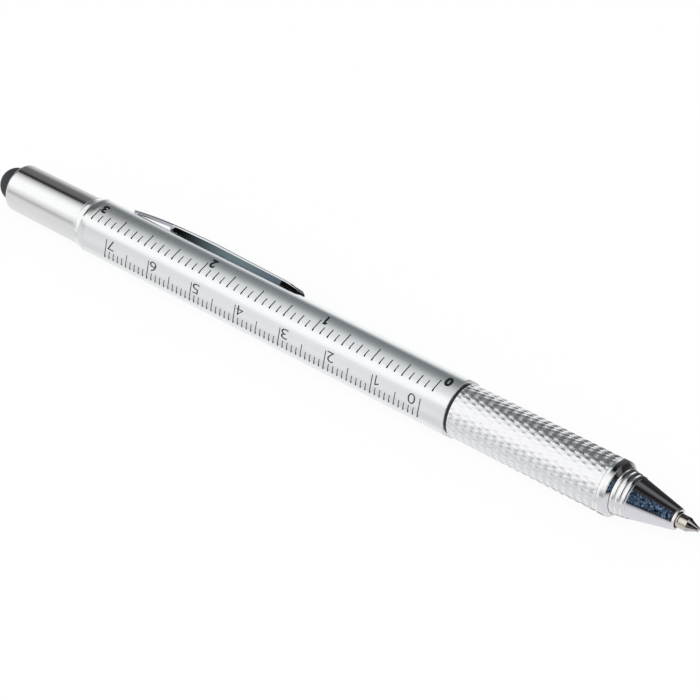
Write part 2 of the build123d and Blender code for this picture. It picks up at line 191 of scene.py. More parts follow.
def knurl_aluminium():
    """The grip's pressed lattice, bright all over, with painted shade that makes its hollows a
    little darker.
    """
    finish = new_finish("knurled aluminium")
    side = finish.along("Y")
    height = finish.along("Z")
    out = finish.maths("POWER", side * side + height * height, 0.5)
    hollow_shade_mask = finish.between(out, GRIP_FLOOR, GRIP_CREST + 0.05)
    grain = finish.noise((4.0, 12.0, 12.0), 2.0)
    # Painted shade: the hollows' colour is a little darker than the crests'.
    colour = finish.mixed(hollow_shade_mask, (0.93, 0.932, 0.945), (0.97, 0.972, 0.98))
    return finish.surface(colour, 0.15 + grain * 0.05, 0.92, (grain, 0.1, 0.004))


def polished_chrome():
    """Mirror plating with the faintest haze of handling."""
    finish = new_finish("polished chrome")
    haze = finish.noise(HAZE, 3.0)
    wipe = finish.noise((0.3, 14.0, 14.0), 2.0)
    colour = finish.mixed(haze, (0.95, 0.955, 0.96), (0.98, 0.983, 0.987))
    return finish.surface(colour, 0.035 + haze * 0.03 + wipe * 0.015, 1.0)


def nose_chrome(cone_start):
    """Thin plating over a turned cone, with a fine orange peel."""
    finish = new_finish("thinly plated chrome")
    haze = finish.noise(HAZE, 3.0)
    on_cone = finish.between(finish.along("X"), cone_start, cone_start + 0.4)
    peel = finish.noise((5.0, 5.0, 5.0), 2.0) * on_cone
    colour = finish.mixed(haze, (0.95, 0.952, 0.96), (0.98, 0.981, 0.987))
    return finish.surface(colour, 0.03 + haze * 0.02, 1.0, (peel, 1.0, 0.011))


def clip_chrome(flank_start, flank_end):
    """Plated spring steel with painted reflection and shade: a grey strip paling towards
    flank_start, then painted black fading to blue grey, and black past flank_end.
    """
    finish = new_finish("spring steel with painted reflection and shade")
    along = finish.along("X")
    above = finish.along("Y") * 0.866 + finish.along("Z") * 0.5 - BARREL_FLATS / 2
    slanted = along - above * 0.85
    haze = finish.noise(BRUSHED_HAZE, 2.0)
    # Painted reflection and shade on the folded sides: black near their start, fading to blue
    # grey, a little darker towards flank_end.
    painted_flank_fade = finish.between(along, flank_start + 1.5, flank_start + 15.0)
    painted_flank = finish.mixed(painted_flank_fade, (0.003, 0.0035, 0.005), (0.135, 0.185, 0.205))
    far = finish.between(along, flank_end - 9.0, flank_end)
    painted_flank = finish.mixed(far, painted_flank, (0.10, 0.135, 0.165))
    # A painted black shadow on the sides from flank_end on, under the curled tip.
    painted_end_shadow = finish.between(along, flank_end - 0.05, flank_end + 0.05)
    painted_flank = finish.mixed(painted_end_shadow, painted_flank, (0.005, 0.005, 0.006))
    on_flank = finish.between(slanted, flank_start - 0.05, flank_start + 0.05)
    # Painted reflection on the strip's edge: grey, paling towards flank_start.
    pale = finish.between(along, flank_start - REAR_LENGTH, flank_start)
    strip = finish.mixed(pale, (0.24, 0.25, 0.265), (0.44, 0.45, 0.52))
    strip = finish.mixed(haze * 0.3, strip, (0.30, 0.31, 0.33))
    colour = finish.mixed(on_flank, strip, painted_flank)
    return finish.surface(colour, 0.1 + haze * 0.06, 1.0)


def clip_bright():
    """The clip's outer bend and its curled tip."""
    finish = new_finish("bright plated bend")
    haze = finish.noise(BRUSHED_HAZE, 2.0)
    colour = finish.mixed(haze, (0.86, 0.865, 0.88), (0.92, 0.925, 0.935))
    return finish.surface(colour, 0.06 + haze * 0.05, 1.0)


def soft_rubber(name, colour):
    """Matt rubber with a fine grain."""
    finish = new_finish(name)
    speck = finish.noise((22.0, 22.0, 22.0), 2.0)
    cloud = finish.noise((1.4, 1.4, 1.4), 3.0)
    shade = finish.shaded(cloud, colour, 0.8)
    bump = (speck, 0.25, 0.006)
    more = {"Specular IOR Level": 0.35}
    return finish.surface(shade, 0.5 + speck * 0.16, bump=bump, more=more)


def moulded_plastic(name, colour, roughness=0.38):
    """Plastic from a mould, or a wet fill where the roughness is low."""
    finish = new_finish(name)
    grain = finish.noise((12.0, 12.0, 12.0), 2.0)
    cloud = finish.noise((0.8, 0.8, 0.8), 2.0)
    shade = finish.shaded(cloud, colour, 0.88)
    return finish.surface(shade, roughness + grain * 0.12, bump=(grain, 0.2, 0.004))


def turned_metal(name, colour, roughness=0.22, rings=7.0):
    """Metal from the lathe, with its fine rings of tool marks."""
    finish = new_finish(name)
    rings_cut = finish.noise((rings, 0.6, 0.6), 2.0)
    stain = finish.noise((0.5, 0.9, 0.9), 3.0)
    shade = finish.shaded(stain, colour, 0.82)
    return finish.surface(shade, roughness + rings_cut * 0.14, 1.0, (rings_cut, 0.3, 0.006))


def ground_steel(name, colour, roughness=0.24):
    """Hardened steel ground lengthwise, blued a little at random."""
    finish = new_finish(name)
    ground = finish.noise((0.4, 16.0, 16.0), 3.0)
    stain = finish.noise((0.6, 0.8, 0.8), 3.0)
    shade = finish.shaded(stain, colour, 0.75)
    return finish.surface(shade, roughness + ground * 0.18, 1.0, (ground, 0.25, 0.004))


def clear_glass(name, colour, roughness=0.03, transmission=1.0, ior=1.45, glow=0.0):
    """Clear, or faintly glowing where glow is set: painted light that stands in for light
    inside the level.
    """
    finish = new_finish(name)
    smear = finish.noise((0.6, 1.6, 1.6), 3.0)
    tint = tuple(min(part * 1.03, 1) for part in colour)
    more = {
        "Transmission Weight": transmission, "IOR": ior, "Emission Color": (*colour, 1),
        "Emission Strength": glow,
    }
    shade = finish.mixed(smear, colour, tint)
    return finish.surface(shade, roughness + smear * 0.03, more=more)


def printed_ink(name, colour):
    """Thick matt ink, paler where it thins out."""
    finish = new_finish(name)
    edge = finish.noise((14.0, 14.0, 14.0), 2.0)
    pale = tuple(min(part * 1.7 + 0.004, 1) for part in colour)
    shade = finish.mixed(edge, colour, pale)
    return finish.surface(shade, 0.4 + edge * 0.15, more={"Specular IOR Level": 0.2})


# Hand work on meshes

MERGE_GAP = 0.0005
SLICE_GAP = 1e-7


def object_mode():
    if bpy.context.mode != "OBJECT":
        bpy.ops.object.mode_set(mode="OBJECT")


def edit_mode():
    bpy.ops.object.mode_set(mode="EDIT")


def start_clear():
    """Back to object mode with nothing selected."""
    object_mode()
    bpy.ops.object.select_all(action="DESELECT")


def take(piece):
    """Selects one piece alone and makes it active."""
    start_clear()
    piece.select_set(True)
    bpy.context.view_layer.objects.active = piece


def edit(piece):
    """Opens one piece in edit mode with all of it selected."""
    take(piece)
    edit_mode()
    bpy.ops.mesh.select_mode(type="VERT")
    bpy.ops.mesh.select_all(action="SELECT")


def named(name):
    """Names the object just made and its mesh, and settles its place into the mesh."""
    object_mode()
    piece = bpy.context.object
    piece.name = name
    piece.data.name = name
    bpy.ops.object.transform_apply()
    return piece


def close_up(piece):
    """Merges meeting points and turns every face outwards."""
    edit(piece)
    bpy.ops.mesh.remove_doubles(threshold=MERGE_GAP * MM)
    bpy.ops.mesh.normals_make_consistent(inside=False)
    object_mode()


def with_modifier(piece, kind, **settings):
    """Adds a modifier with its settings and applies it."""
    take(piece)
    bpy.ops.object.modifier_add(type=kind)
    modifier = piece.modifiers[-1]
    for name, setting in settings.items():
        setattr(modifier, name, setting)
    bpy.ops.object.modifier_apply(modifier=modifier.name)


def smooth(piece, angle=30, weighted=True):
    """Shades a piece smooth up to angle; weighted keeps its flat faces flat."""
    take(piece)
    bpy.ops.object.shade_smooth_by_angle(angle=math.radians(angle))
    if weighted:
        with_modifier(piece, "WEIGHTED_NORMAL", keep_sharp=True, weight=100)


def extrude(x, y, z):
    """In edit mode, draws what is selected out by this much."""
    bpy.ops.mesh.extrude_region_move(TRANSFORM_OT_translate={"value": (x, y, z)})


def scale_about(place, x, y, z):
    """In edit mode, scales what is selected about a place."""
    bpy.ops.transform.resize(value=(x, y, z), center_override=place)


def slice_at(place, normal=(1, 0, 0), **settings):
    """In edit mode, cuts the whole piece's skin along the plane through place."""
    bpy.ops.mesh.select_all(action="SELECT")
    bpy.ops.mesh.bisect(plane_co=place, plane_no=normal, threshold=SLICE_GAP, **settings)


def cut_away(piece, cutter):
    """Takes the cutter's shape out of a piece, and the cutter away."""
    with_modifier(piece, "BOOLEAN", operation="DIFFERENCE", solver="EXACT", object=cutter)
    bpy.data.objects.remove(cutter)


def joined(name, parts):
    """One piece of several."""
    start_clear()
    for part in parts:
        part.select_set(True)
    bpy.context.view_layer.objects.active = parts[0]
    bpy.ops.object.join()
    return named(name)


def paint(piece, *finishes):
    """Gives a piece these finishes in place of its own."""
    piece.data.materials.clear()
    for finish in finishes:
        piece.data.materials.append(finish)


def turn_to(piece, angle):
    """Turns a piece made at the top of the pen to the facet at this angle."""
    start_clear()
    turn = Matrix.Rotation(math.radians(angle), 4, "X")
    piece.matrix_world = Matrix.Translation(AXIS) @ turn @ Matrix.Translation(-AXIS)
    take(piece)
    bpy.ops.object.transform_apply()


def eased(corners, steps):
    """An outline of (x, radius, ease) corners, each rounded by its ease."""
    points = []
    last = len(corners) - 1
    for index, (x, radius, ease) in enumerate(corners):
        here = Vector((x, radius))
        if ease == 0 or index in (0, last):
            points.append(tuple(here))
            continue
        back = (Vector(corners[index - 1][:2]) - here).normalized()
        on = (Vector(corners[index + 1][:2]) - here).normalized()
        half = back.angle(on) / 2
        centre = here + (back + on).normalized() * (ease / math.sin(half))
        first = here + back * (ease / math.tan(half)) - centre
        final = here + on * (ease / math.tan(half)) - centre
        sweep = first.angle_signed(final)
        for step in range(steps + 1):
            arm = first.copy()
            arm.rotate(Matrix.Rotation(-sweep * step / steps, 2))
            points.append(tuple(centre + arm))
    return points


def turned(name, outline, sides=128, closed=True):
    """A piece turned about the pen's axis from (x, radius) points."""
    start_clear()
    outline = list(outline)
    x, radius = outline[0]
    if closed:
        outline.append((x, radius))
    bpy.ops.mesh.primitive_circle_add(
        vertices=sides, radius=radius * MM, location=(x * MM, 0, AXIS.z),
        rotation=(0, math.pi / 2, 0),
    )
    piece = named(name)
    edit(piece)
    for next_x, next_radius in outline[1:]:
        extrude((next_x - x) * MM, 0, 0)
        share = next_radius / radius
        scale_about((next_x * MM, 0, AXIS.z), 1, share, share)
        x, radius = next_x, next_radius
    close_up(piece)
    return piece


def turned_smooth(name, corners, steps=6, sides=128, angle=30):
    """A turned piece from (x, radius, ease) corners, shaded smooth."""
    piece = turned(name, eased(corners, steps), sides)
    smooth(piece, angle)
    return piece


def block(name, start, end, width, low, high):
    """A block centred across the pen, between two heights above the axis."""
    start_clear()
    middle = ((start + end) / 2 * MM, 0, AXIS.z + (low + high) / 2 * MM)
    size = ((end - start) * MM, width * MM, (high - low) * MM)
    bpy.ops.mesh.primitive_cube_add(size=1, location=middle, scale=size)
    return named(name)


def select_edges(piece, wanted):
    """In edit mode, selects the edges whose two ends pass wanted(a, b), in millimetres."""
    bpy.ops.mesh.select_mode(type="EDGE")
    bpy.ops.mesh.select_all(action="DESELECT")
    object_mode()
    mesh = piece.data
    for edge in mesh.edges:
        ends = [(mesh.vertices[index].co - AXIS) / MM for index in edge.vertices]
        edge.select = wanted(*ends)
    edit_mode()


def select_faces(piece, wanted):
    """In edit mode, selects the faces whose middle and normal pass wanted(middle, normal)."""
    bpy.ops.mesh.select_mode(type="FACE")
    bpy.ops.mesh.select_all(action="DESELECT")
    object_mode()
    for polygon in piece.data.polygons:
        middle = (polygon.center - AXIS) / MM
        polygon.select = wanted(middle, polygon.normal)
    edit_mode()


def keep_edges(piece, start):
    """In edit mode, keeps only the chosen edges that lie beyond start along the pen."""
    object_mode()
    mesh = piece.data
    kept = [
        edge.index for edge in mesh.edges
        if edge.select and all(mesh.vertices[v].co.x > start * MM for v in edge.vertices)
    ]
    edit_mode()
    bpy.ops.mesh.select_all(action="DESELECT")
    object_mode()
    for index in kept:
        mesh.edges[index].select = True
    edit_mode()


def node_span(node):
    """Where a node starts and ends along the pen, in millimetres."""
    low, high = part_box(node)
    return low[0] / MM, high[0] / MM


def dress(piece, body, slot, finish, *nodes):
    """Gives a piece its finish and its body, and hides the nodes that it stands for; slot is
    not used.
    """
    paint(piece, finish)
    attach(piece, body)
    if nodes:
        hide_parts(*nodes)


# Barrel

BARREL_FLATS = 10.0
RIDGE_RADIUS = 2.2
FLAT_HALF = (BARREL_FLATS / 2 - RIDGE_RADIUS) * math.tan(math.pi / 6)
RIDGE_ARC = RIDGE_RADIUS * math.pi / 3
FACET_STEP = 2 * FLAT_HALF + RIDGE_ARC
BORE_RADIUS = 3.9
EDGE_BEVEL = 0.08
REAR_RIM = 4.83
REAR_CHAMFER = 1.5
WINDOW_WIDTH = 3.0
CLIP_SLOT = 2.7
OUTSIDE = 10
barrel_start, barrel_end = node_span("barrel")


def six_sided(name, start, end, flats, ridge, steps):
    """A six-sided bar with rounded ridges, its flats straight up and down."""
    start_clear()
    bpy.ops.mesh.primitive_cylinder_add(
        vertices=6, radius=flats / 2 / math.cos(math.pi / 6) * MM, depth=(end - start) * MM,
        location=((start + end) / 2 * MM, 0, AXIS.z), rotation=(0, math.pi / 2, 0),
    )
    piece = named(name)
    edit(piece)
    select_edges(piece, lambda a, b: abs(a.x - b.x) > 0.01)
    bpy.ops.mesh.bevel(
        offset=ridge * math.tan(math.pi / 6) * MM, segments=steps, profile=0.5,
        affect="EDGES",
    )
    object_mode()
    return piece


def oblong_cutter(start, end, width):
    """A block with round ends that reaches out through the top facet."""
    cutter = block("cutter", start, end, width, 0, OUTSIDE)
    edit(cutter)
    select_edges(cutter, lambda a, b: abs(a.z - b.z) > 0.01)
    bpy.ops.mesh.bevel(offset=width / 2 * 0.999 * MM, segments=10, affect="EDGES")
    object_mode()
    return cutter


def make_barrel(finish, bare):
    """The six-sided tube, bare on its rear chamfer, with openings for the level and the clip.

    Its few ridge steps let each flat shade as gently crowned. The slices keep the long faces
    off the openings and the chamfers.
    """
    piece = six_sided("barrel_tube", barrel_start, barrel_end, BARREL_FLATS, RIDGE_RADIUS, 2)
    edit(piece)
    select_edges(piece, lambda a, b: abs(a.x - b.x) < 0.01)
    bpy.ops.mesh.bevel(offset=EDGE_BEVEL * MM, segments=2, profile=0.5, affect="EDGES")
    window_start, window_end = node_span("level_window")
    clip_start, _ = node_span("clip")
    cuts = (
        barrel_start + 1.7, clip_start - 0.6, clip_start + 1.2, window_start - 0.5,
        window_end + 0.5, barrel_end - 0.14,
    )
    for cut in cuts:
        slice_at((cut * MM, 0, 0))
    start_clear()
    bpy.ops.mesh.primitive_cylinder_add(
        vertices=96, radius=BORE_RADIUS * MM, depth=0.1, location=AXIS,
        rotation=(0, math.pi / 2, 0),
    )
    cut_away(piece, named("bore"))
    rim = barrel_start - 0.1
    chamfer_end = barrel_start + REAR_CHAMFER
    outline = [
        (rim, REAR_RIM), (barrel_start + 0.45, 5.1), (chamfer_end, 5.5), (rim + 2, 7),
        (rim, 7),
    ]
    cut_away(piece, turned("rear_chamfer_cutter", outline))
    window_cutter = oblong_cutter(window_start - 0.03, window_end + 0.03, WINDOW_WIDTH)
    turn_to(window_cutter, LEVEL_ANGLE)
    cut_away(piece, window_cutter)
    slot_cutter = block("cutter", clip_start - 0.15, clip_start + 0.75, CLIP_SLOT, 0, OUTSIDE)
    turn_to(slot_cutter, CLIP_ANGLE)
    cut_away(piece, slot_cutter)
    smooth(piece, 36, weighted=False)
    with_modifier(piece, "WEIGHTED_NORMAL", mode="CORNER_ANGLE", keep_sharp=True, weight=50)
    dress(piece, "barrel", "satin_silver", finish, "barrel")
    paint(piece, finish, bare)
    for polygon in piece.data.polygons:
        at_rear = polygon.center.x < (chamfer_end - 0.1) * MM
        polygon.material_index = int(at_rear and polygon.normal.x < -0.2)


# Printed scales

PRINT_LIFT = 0.012
INCH_ZERO = 37.4
INCH = 25.4
CM_ZERO = 35.95
CM = 10.0


def skin_place(reach):
    """The point and slope of the barrel's skin at reach from the top facet's middle."""
    facet = math.floor((reach + FACET_STEP / 2) / FACET_STEP)
    within = reach - facet * FACET_STEP
    ridge_place = BARREL_FLATS / 2 - RIDGE_RADIUS
    side = math.copysign(1, within)
    beyond = max(abs(within) - FLAT_HALF, 0) / RIDGE_RADIUS
    out = ridge_place + RIDGE_RADIUS * math.cos(beyond)
    across = min(abs(within), FLAT_HALF) + RIDGE_RADIUS * math.sin(beyond)
    angle = math.radians(60 * facet)
    slope = angle + side * beyond
    y = -math.sin(angle) * out - math.cos(angle) * across * side
    z = math.cos(angle) * out - math.sin(angle) * across * side
    return Vector((0, y, z)), slope


def printed_line(name, x, start, end, width):
    """One printed line at x, from start to end round the barrel's skin."""
    flats = BARREL_FLATS + 2 * PRINT_LIFT
    piece = six_sided(name, x - width / 2, x + width / 2, flats, RIDGE_RADIUS, 8)
    edit(piece)
    _, slope = skin_place((start + end) / 2)
    for reach, side in ((start, -1), (end, 1)):
        point, angle = skin_place(reach)
        along = Vector((0, -math.cos(angle), -math.sin(angle))) * side
        slice_at(AXIS + point * MM, along, clear_outer=True)
    outward = Vector((0, -math.sin(slope), math.cos(slope)))
    near_side = BARREL_FLATS * 0.35
    select_faces(
        piece, lambda place, normal: abs(normal.x) > 0.5 or place.dot(outward) < near_side
    )
    bpy.ops.mesh.delete(type="FACE")
    object_mode()
    return piece


def repeated(piece, count, step):
    """Copies a piece along the pen, count in all, each a step from the last."""
    with_modifier(
        piece, "ARRAY", count=count, use_relative_offset=False, use_constant_offset=True,
        constant_offset_displace=(step * MM, 0, 0),
    )
    return piece


def ruled(zero, unit, rules):
    """Rows of printed lines.

    Each has its name, the units from zero to its first line, the reach that its lines start
    and end at, their width, their count and the units from one to the next.
    """
    rows = []
    for name, first, start, end, width, count, step in rules:
        line = printed_line(name, zero - unit * first, start, end, width)
        rows.append(repeated(line, count, -unit * step))
    return rows


def settle_figure(piece, x, angle, foot, height, width):
    """Sizes a flat figure and lays it on a facet with its foot at this reach."""
    places = [vertex.co for vertex in piece.data.vertices]
    left = min(place.x for place in places)
    right = max(place.x for place in places)
    low = min(place.y for place in places)
    high = max(place.y for place in places)
    centre = Matrix.Translation((-(left + right) / 2, -low, 0))
    sized = Matrix.Diagonal((width * MM / (right - left), height * MM / (high - low), 1, 1))
    flipped = Matrix.Rotation(math.pi, 4, "Z")
    lift = (BARREL_FLATS / 2 + PRINT_LIFT) * MM
    placed = Matrix.Translation((x * MM, -foot * MM, AXIS.z + lift))
    piece.matrix_world = placed @ flipped @ sized @ centre
    take(piece)
    bpy.ops.object.transform_apply()
    if angle:
        turn_to(piece, angle)
    return piece


def digit(character, x, angle, foot, height, width, weight):
    """One figure of the built-in lettering."""
    start_clear()
    bpy.ops.object.text_add(location=(0, 0, 0))
    text = bpy.context.object
    text.data.body = character
    text.data.size = 1.0
    text.data.offset = weight
    text.data.resolution_u = 6
    bpy.ops.object.convert(target="MESH")
    piece = bpy.context.object
    piece.name = "figure_" + character
    return settle_figure(piece, x, angle, foot, height, width)


def one(x, angle, foot, height, width, stroke, drop):
    """A 1 with its flag: an upright whose top left edge is drawn out and down."""
    start_clear()
    bpy.ops.mesh.primitive_plane_add(size=1, location=(0, height / 2, 0))
    piece = bpy.context.object
    piece.scale = (stroke, height, 1)
    piece = named("figure_1")
    edit(piece)
    flag_height = stroke * 1.15
    flag_foot = height - flag_height
    slice_at((0, flag_foot, 0), (0, 1, 0))
    low = (flag_foot - 1e-4) / MM
    select_edges(piece, lambda a, b: max(a.x, b.x) < 0 and min(a.y, b.y) > low)
    extrude(stroke - width, -drop, 0)
    object_mode()
    return settle_figure(piece, x, angle, foot, height, width)


def make_inch_scale(finish):
    """Inches in sixteenths on the top facet, from 0 near the grip to 3 near the cap."""
    rules = (
        ("inch_quarters", 0, -0.45, 2.2, 0.2, 13, 1 / 4),
        ("inch_eighths", 1 / 8, 0.28, 2.15, 0.2, 12, 1 / 4),
        ("inch_sixteenths", 1 / 16, 0.6, 2.15, 0.18, 24, 1 / 8),
    )
    rows = ruled(INCH_ZERO, INCH, rules)
    foot = -1.65
    figures = [
        digit("0", 38.75, 0, foot, 1.85, 1.38, weight=0.062),
        one(13.0, 0, foot, 1.83, 0.75, stroke=0.38, drop=0.16),
        digit("2", -12.4, 0, foot, 1.83, 1.3, weight=0.04),
        digit("3", -37.95, 0, foot, 1.75, 1.25, weight=0.04),
    ]
    scale = joined("inch_scale", [*rows, *figures])
    dress(scale, "barrel", "black_plastic", finish)


def make_cm_scale(finish):
    """Centimetres in millimetres on the next facet, from 0 near the grip to 7."""
    rules = (
        ("cm_whole", 0, 4.27, 7.85, 0.18, 8, 1),
        ("cm_half", 1 / 2, 5.3, 7.8, 0.16, 7, 1),
        ("cm_tenths", 1 / 10, 6.35, 7.8, 0.16, 4, 1 / 10),
    )
    whole, half, tenths = ruled(CM_ZERO, CM, rules)
    tenths = repeated(tenths, 14, -CM / 2)
    foot = 4.08 - FACET_STEP
    height, width, weight = 1.88, 1.5, -0.008
    figures = [
        digit("0", CM_ZERO - 1.7, CM_ANGLE, foot, height, width, weight),
        one(CM_ZERO - CM + 1.1, CM_ANGLE, foot, 1.8, 0.85, stroke=0.22, drop=0.33),
    ]
    for count in range(2, 8):
        x = CM_ZERO - CM * count + 1.12
        figures.append(digit(str(count), x, CM_ANGLE, foot, height, width, weight))
    scale = joined("cm_scale", [whole, half, tenths, *figures])
    dress(scale, "barrel", "black_plastic", finish)


# Cap end

def make_cap(finish):
    """The cap's tube, a little tapered, with its lip turned in round the dome."""
    start, end = node_span("cap_shell")
    lip = start + 0.6
    corners = [
        (end, 3.75, 0), (end, 4.53, 0.18), (start, 4.44, 0.75), (start, 3.3, 0.05),
        (lip, 3.3, 0.05), (lip, 3.72, 0.05),
    ]
    piece = turned_smooth("cap_tube", corners, 8)
    dress(piece, "cap", "chrome", finish, "cap_shell")


def make_dome(finish):
    """The stylus dome, closed at its pole, with its skirt tucked into the cap's end."""
    start, end = node_span("stylus_tip")
    radius, rounds = 3.2, 20
    outline = [(end, 1.6), (end, radius - 0.15), (end - 0.15, radius)]
    for step in range(rounds):
        turn = math.pi / 2 * step / rounds
        outline.append((start + radius - radius * math.sin(turn), radius * math.cos(turn)))
    piece = turned("stylus_dome", [*outline, (start, 0.0001)], 96, closed=False)
    edit(piece)
    select_edges(piece, lambda a, b: max(a.x, b.x) < start + 0.002)
    bpy.ops.mesh.merge(type="CENTER")
    close_up(piece)
    smooth(piece, 40, weighted=False)
    dress(piece, "cap", "black_rubber", finish, "stylus_tip")


def make_trim_ring(finish):
    start, end = node_span("rear_trim_ring")
    corners = [
        (end - 0.3, 3.3, 0), (end, 3.3, 0), (end, 4.55, 0.05), (end - 0.12, 4.76, 0.12),
        (start + 0.1, 4.8, 0.3), (start, 4.5, 0.05), (start, 3.3, 0),
    ]
    piece = turned_smooth("trim_ring", corners)
    dress(piece, "barrel", "chrome", finish, "rear_trim_ring")


# Grip end

GRIP_FLOOR = 4.72
GRIP_CREST = 4.79
CORE_LAP = 0.2
KNURL_PITCH = 2.96
KNURL_COUNT = 32
KNURL_PLACE = 43.0
KNURL_TURN = 5.7
BOSS_HALF_LENGTH = 1.1
BOSS_HALF_WIDTH = 0.44
BOSS_PROFILE = ((0.78, 0.16), (0.50, 0.57), (0.26, 0.89), (0.1, 0.99))
BOSS_SINK = 0.01


def make_washer(finish):
    start, end = node_span("thrust_washer")
    corners = [(start, 3.1, 0), (start, 4.6, 0.1), (end, 4.6, 0.1), (end, 3.1, 0)]
    piece = turned_smooth("thrust_ring", corners)
    dress(piece, "barrel", "black_plastic", finish, "thrust_washer")


def knurl_row(name, start, count):
    """One row of the knurl's low oval bosses along the top of the grip."""
    start_clear()
    foot = AXIS.z + (GRIP_FLOOR - BOSS_SINK) * MM
    bpy.ops.mesh.primitive_circle_add(vertices=10, location=(0, 0, 0), fill_type="NGON")
    piece = bpy.context.object
    piece.scale = (BOSS_HALF_LENGTH * MM, BOSS_HALF_WIDTH * MM, 1)
    piece.location = (start * MM, 0, foot)
    piece = named(name)
    edit(piece)
    rise = (GRIP_CREST - GRIP_FLOOR + BOSS_SINK) * MM
    scale, height = 1.0, 0.0
    for next_scale, next_height in BOSS_PROFILE:
        extrude(0, 0, (next_height - height) * rise)
        share = next_scale / scale
        scale_about((start * MM, 0, foot), share, share, 1)
        scale, height = next_scale, next_height
    return repeated(piece, count, KNURL_PITCH)


def spun_round(piece, count, turn):
    """Turns a piece, then copies it round the pen's axis, count in all."""
    turn_to(piece, turn)
    edit(piece)
    bpy.ops.mesh.spin(steps=count, dupli=True, angle=math.tau, center=AXIS, axis=(1, 0, 0))
    close_up(piece)
    return piece


def make_grip(finish):
    """The knurled sleeve: a plain core and its lattice of oval bosses."""
    start, end = node_span("grip_sleeve")
    core_start = start - CORE_LAP
    corners = [
        (core_start, 3.5, 0), (core_start, GRIP_FLOOR, 0.04), (end, GRIP_FLOOR, 0),
        (end, 3.5, 0),
    ]
    core = turned_smooth("grip_core", corners)
    first = KNURL_PLACE - math.ceil((KNURL_PLACE - start) / KNURL_PITCH) * KNURL_PITCH
    count = math.ceil((end - first) / KNURL_PITCH) + 1
    step = 360 / KNURL_COUNT
    rows = []
    for name, shift, turn in (("knurl_a", 0, 0), ("knurl_b", -KNURL_PITCH / 2, step / 2)):
        row = knurl_row(name, first + shift, count)
        rows.append(spun_round(row, KNURL_COUNT, KNURL_TURN + turn))
    knurl = joined("grip_knurl", rows)
    edit(knurl)
    for x, side in ((core_start + 0.05, -1), (end - 0.02, 1)):
        slice_at((x * MM, 0, 0), (side, 0, 0), clear_outer=True, use_fill=True)
    smooth(knurl, 60, weighted=False)
    sleeve = joined("grip_sleeve_knurled", [core, knurl])
    dress(sleeve, "grip", "satin_silver", finish, "grip_sleeve")


def make_collar(finish):
    """The collar: a plain band, a fine step and a steep front chamfer."""
    start, end = node_span("front_collar")
    band, step = 4.82, 4.74
    corners = [
        (start, 3.45, 0), (start, 4.68, 0.05), (start + 0.08, band, 0.06),
        (end - 0.62, band, 0.04), (end - 0.59, step, 0.02), (end - 0.5, step, 0.06),
        (end - 0.06, 4.15, 0.1), (end, 3.98, 0.05), (end - 0.25, 3.95, 0.03),
        (end - 0.25, 3.45, 0),
    ]
    piece = turned_smooth("collar", corners)
    dress(piece, "grip", "chrome", finish, "front_collar")


CONE_LENGTH = 7.9


def make_nose(finish):
    """The neck's three turned bands, the cone, its rim and the bore of the tip."""
    start, end = node_span("nose_cone")
    neck_end = end - CONE_LENGTH
    bands = ((3.92, 0.95), (3.8, 0.93), (3.66, 0.92))
    groove, bore = 0.17, 2.2
    x = neck_end - sum(length for _, length in bands)
    corners = [(x, 2.9, 0)]
    for radius, length in bands:
        corners.append((x, radius, 0.05))
        corners.append((x + length - 0.2, radius, 0.07))
        corners.append((x + length - 0.12, radius - groove, 0.03))
        corners.append((x + length, radius - groove, 0.03))
        x += length
    corners.extend(
        [
            (neck_end, 3.52, 0.05), (end - 0.32, 1.9, 0.05), (end - 0.24, 1.84, 0.03),
            (end, 1.8, 0.12), (end, 1.4, 0.1), (end - 2.0, 1.38, 0),
            (end - 5.0, bore, 0), (start, bore, 0), (start, 2.88, 0.1),
        ]
    )
    piece = turned_smooth("nose", corners, 4, angle=24)
    dress(piece, "nose", "chrome", finish, "nose_cone")


TIP_CONE = 1.75


def make_tip(finish):
    """The refill's metal point: a shank in the refill's tube, a body and a cone."""
    start, end = node_span("refill_tip")
    body_start = end - TIP_CONE - 6.1
    shank, body, bore = 0.89, 1.175, 0.25
    corners = [
        (start, bore, 0), (start, shank, 0.08), (body_start, shank, 0),
        (body_start, body, 0.1), (end - TIP_CONE, body, 0.15), (end - 1.55, 1.0, 0.1),
        (end - 0.35, 0.5, 0.1), (end, 0.42, 0.04), (end, 0.36, 0), (end - 0.3, 0.3, 0),
        (end - 0.3, bore, 0),
    ]
    piece = turned_smooth("writing_tip", corners, 4, 64, 26)
    dress(piece, "refill", "tip_metal", finish, "refill_tip")


# Clip

SHEET = 0.38
CLIP_WIDTH = 3.6
SIDE_GAP = 0.02
FOLD = 0.5
FOLD_SHARE = 0.3
REAR_LENGTH = 8.6
REAR_DROP = 0.3
REAR_SLOPE = 0.3
CLIP_LENGTH = 33.8
TIP_REACH = 0.3
TIP_HEIGHT = 0.16
TAPER = 1.2


def arc_through(first, middle, last, steps):
    """Points on the gentle curve through three (x, height) points."""
    (x0, h0), (x1, h1), (x2, h2) = first, middle, last
    points = []
    for step in range(steps + 1):
        x = x0 + (x2 - x0) * step / steps
        near = h0 * (x - x1) * (x - x2) / ((x0 - x1) * (x0 - x2))
        mid = h1 * (x - x0) * (x - x2) / ((x1 - x0) * (x1 - x2))
        far = h2 * (x - x0) * (x - x1) / ((x2 - x0) * (x2 - x1))
        points.append((x, near + mid + far))
    return points


